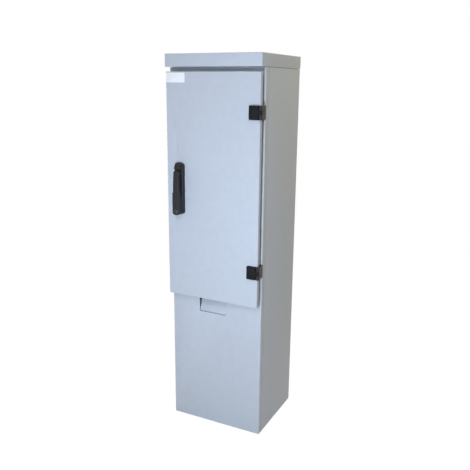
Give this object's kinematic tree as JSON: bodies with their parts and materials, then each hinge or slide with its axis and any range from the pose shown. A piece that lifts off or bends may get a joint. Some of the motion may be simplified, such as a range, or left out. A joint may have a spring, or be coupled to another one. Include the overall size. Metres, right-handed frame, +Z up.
{
  "type": "power bollard",
  "caption": "Free-standing steel power bollard with roof cap, lockable overlay door, swing handle, cable flap and industrial sockets inside.",
  "frame": {"origin": "centre of the floor fixing pattern at floor level", "axes": "+X to the right seen from the front, +Y to the back, +Z up; the door faces -Y"},
  "size_m": [0.325, 0.3279, 1.2],
  "materials": {
    "body_paint": "fine textured powder coat",
    "zinc": "galvanised",
    "steel": "zinc plated",
    "black_plastic": "satin moulding",
    "rubber": "foam",
    "device_white": "satin moulding",
    "toggle_dark": "satin moulding",
    "socket_blue": "moulded",
    "socket_red": "moulded",
    "contact_grey": "moulded",
    "box_grey": "moulded",
    "window_clear": "clear moulding",
    "button_yellow": "moulded",
    "lock_metal": "black plated"
  },
  "bodies": {
    "cabinet": {"front_frame": "body_paint", "body_shell": "body_paint", "top_plate": "body_paint", "roof_cap": "body_paint", "base_frame": "body_paint", "flap_brackets": "body_paint", "equipment_panel": "zinc", "panel_brackets": "zinc", "mounting_rail": "zinc", "rail_posts": "zinc", "hinge_pins": "steel", "flap_pin": "steel", "upper_hinge_frame_leaf": "black_plastic", "lower_hinge_frame_leaf": "black_plastic", "roof_seal": "rubber", "residual_current_device": "device_white", "single_pole_breaker": "device_white", "three_pole_breaker": "device_white", "single_phase_socket": "socket_blue", "three_phase_socket": "socket_red", "single_phase_socket_insert": "contact_grey", "three_phase_socket_insert": "contact_grey", "supply_terminals": "contact_grey", "breaker_shroud": "box_grey", "supply_box": "box_grey", "supply_lid": "box_grey", "supply_glands": "box_grey"},
    "door": {"door_panel": "body_paint", "door_gasket": "rubber", "upper_hinge_door_leaf": "black_plastic", "lower_hinge_door_leaf": "black_plastic", "handle_base": "black_plastic"},
    "spindle": {"handle_spindle": "black_plastic", "latch_tongue": "zinc"},
    "lever": {"handle_lever": "black_plastic", "lever_pin": "steel"},
    "lock": {"lock_plug": "lock_metal"},
    "flap": {"cable_flap": "body_paint"},
    "window": {"breaker_window": "window_clear"},
    "rcd_switch": {"residual_current_device_toggle": "toggle_dark"},
    "rcd_test": {"test_button": "button_yellow"},
    "single_switch": {"single_pole_breaker_toggle": "toggle_dark"},
    "triple_switch": {"three_pole_breaker_toggle": "toggle_dark"},
    "single_lid": {"single_phase_socket_lid": "socket_blue"},
    "triple_lid": {"three_phase_socket_lid": "socket_red"}
  },
  "joints": [
    {"name": "door_hinge", "type": "hinge", "parent": "cabinet", "child": "door", "pos_m": [0.16, -0.166, 0.7985], "axis": [0, 0, 1], "range_deg": [0, 180]},
    {"name": "handle_turn", "type": "hinge", "parent": "door", "child": "spindle", "pos_m": [-0.1095, -0.173, 0.8485], "axis": [0, -1, 0], "range_deg": [0, 90]},
    {"name": "handle_lift", "type": "hinge", "parent": "spindle", "child": "lever", "pos_m": [-0.1095, -0.184, 0.8485], "axis": [-1, 0, 0], "range_deg": [0, 40]},
    {"name": "lock_turn", "type": "hinge", "parent": "lever", "child": "lock", "pos_m": [-0.1095, -0.19, 0.7285], "axis": [0, -1, 0], "range_deg": [0, 90]},
    {"name": "flap_swing", "type": "hinge", "parent": "cabinet", "child": "flap", "pos_m": [-0.012, -0.1284, 0.39668], "axis": [-1, 0, 0], "range_deg": [-15, 60]},
    {"name": "window_swing", "type": "hinge", "parent": "cabinet", "child": "window", "pos_m": [0, 0.0102, 1.0315], "axis": [-1, 0, 0], "range_deg": [0, 100]},
    {"name": "rcd_switch_throw", "type": "hinge", "parent": "cabinet", "child": "rcd_switch", "pos_m": [-0.0435, 0.033, 0.985], "axis": [1, 0, 0], "range_deg": [0, 76]},
    {"name": "single_switch_throw", "type": "hinge", "parent": "cabinet", "child": "single_switch", "pos_m": [-0.009, 0.033, 0.985], "axis": [1, 0, 0], "range_deg": [0, 76]},
    {"name": "triple_switch_throw", "type": "hinge", "parent": "cabinet", "child": "triple_switch", "pos_m": [0.027, 0.033, 0.985], "axis": [1, 0, 0], "range_deg": [0, 76]},
    {"name": "rcd_test_press", "type": "slide", "parent": "cabinet", "child": "rcd_test", "axis": [0, 1, 0], "range_m": [0, 0.0012], "stiffness_N_per_m": 600},
    {"name": "single_lid_open", "type": "hinge", "parent": "cabinet", "child": "single_lid", "pos_m": [-0.072, -0.0063, 0.8195], "axis": [-1, 0, 0], "range_deg": [0, 100], "stiffness_Nm_per_rad": 0.05, "springref_deg": -22.92},
    {"name": "triple_lid_open", "type": "hinge", "parent": "cabinet", "child": "triple_lid", "pos_m": [0.066, -0.0063, 0.8285], "axis": [-1, 0, 0], "range_deg": [0, 100], "stiffness_Nm_per_rad": 0.05, "springref_deg": -22.92}
  ]
}
